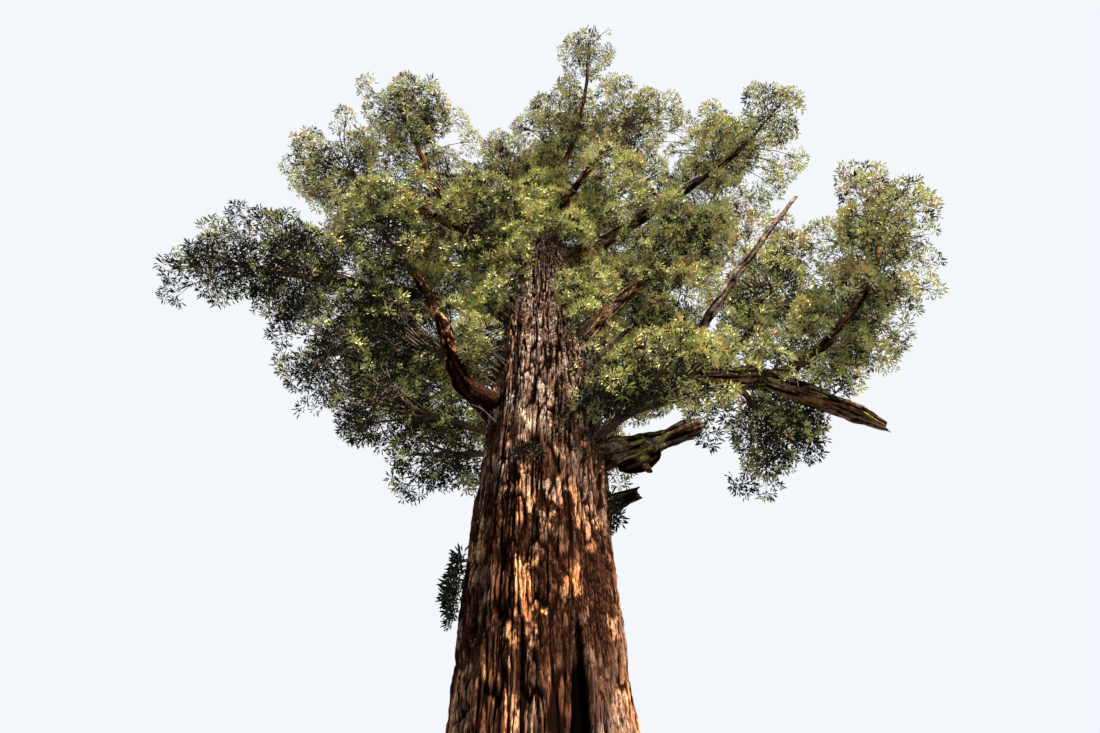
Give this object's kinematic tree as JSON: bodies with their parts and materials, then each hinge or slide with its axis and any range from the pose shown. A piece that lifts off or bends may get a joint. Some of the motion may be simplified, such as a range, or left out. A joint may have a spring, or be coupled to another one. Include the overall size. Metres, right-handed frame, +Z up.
{
  "type": "giant sequoia tree",
  "caption": "Old giant sequoia tree: a leaning trunk with a flared foot and a fire scar, heavy bent boughs, some of them dead, and rounded masses of needle foliage.",
  "frame": {"origin": "middle of the flat cut under the trunk, at ground level", "axes": "+Z up, +X to the right and -Y towards the viewer as the picture shows the tree"},
  "size_m": [22.3981, 16.9058, 39.9394],
  "materials": {
    "bark": "deeply furrowed, fibrous, cinnamon red bark",
    "dead_wood": "weathered dead wood with bark scraps and moss",
    "foliage": "matte needle foliage, olive green with golden brown tips"
  },
  "bodies": {
    "root": {"back_bough": "bark", "back_left_bough": "bark", "back_right_bough": "bark", "bare_spike": "dead_wood", "dead_hook": "dead_wood", "dead_limb": "dead_wood", "dead_spike": "dead_wood", "elbow_bough_lower": "bark", "elbow_bough_upper": "bark", "far_limb": "bark", "far_rising_limb": "bark", "foliage_back_high": "foliage", "foliage_back_left": "foliage", "foliage_back_left_high": "foliage", "foliage_back_left_low": "foliage", "foliage_back_low": "foliage", "foliage_back_middle": "foliage", "foliage_back_right": "foliage", "foliage_back_right_high": "foliage", "foliage_crown_tip": "foliage", "foliage_front_left": "foliage", "foliage_front_left_high": "foliage", "foliage_left_hanging": "foliage", "foliage_left_inner": "foliage", "foliage_left_low": "foliage", "foliage_left_mid": "foliage", "foliage_left_tip": "foliage", "foliage_left_under": "foliage", "foliage_right_far": "foliage", "foliage_right_far_top": "foliage", "foliage_right_high": "foliage", "foliage_right_inner": "foliage", "foliage_right_low": "foliage", "foliage_right_low_mid": "foliage", "foliage_right_mid": "foliage", "foliage_right_spike": "foliage", "foliage_right_under": "foliage", "foliage_right_upper": "foliage", "foliage_right_upper_inner": "foliage", "foliage_top_front": "foliage", "foliage_top_left": "foliage", "foliage_top_right": "foliage", "foliage_top_spike": "foliage", "foliage_upper_left_shoulder": "foliage", "foliage_upper_left_tip": "foliage", "foliage_upper_left_top": "foliage", "fork_bough": "bark", "giant_bough": "bark", "left_bough": "bark", "left_low_bough": "bark", "left_side_bough": "bark", "low_limb": "bark", "right_spike_bough": "bark", "rising_limb": "bark", "spike_leader": "bark", "sunlit_bough": "bark", "top_right_bough": "bark", "trunk": "bark", "upper_left_bough": "bark", "upper_left_side_bough": "bark"}
  },
  "joints": []
}
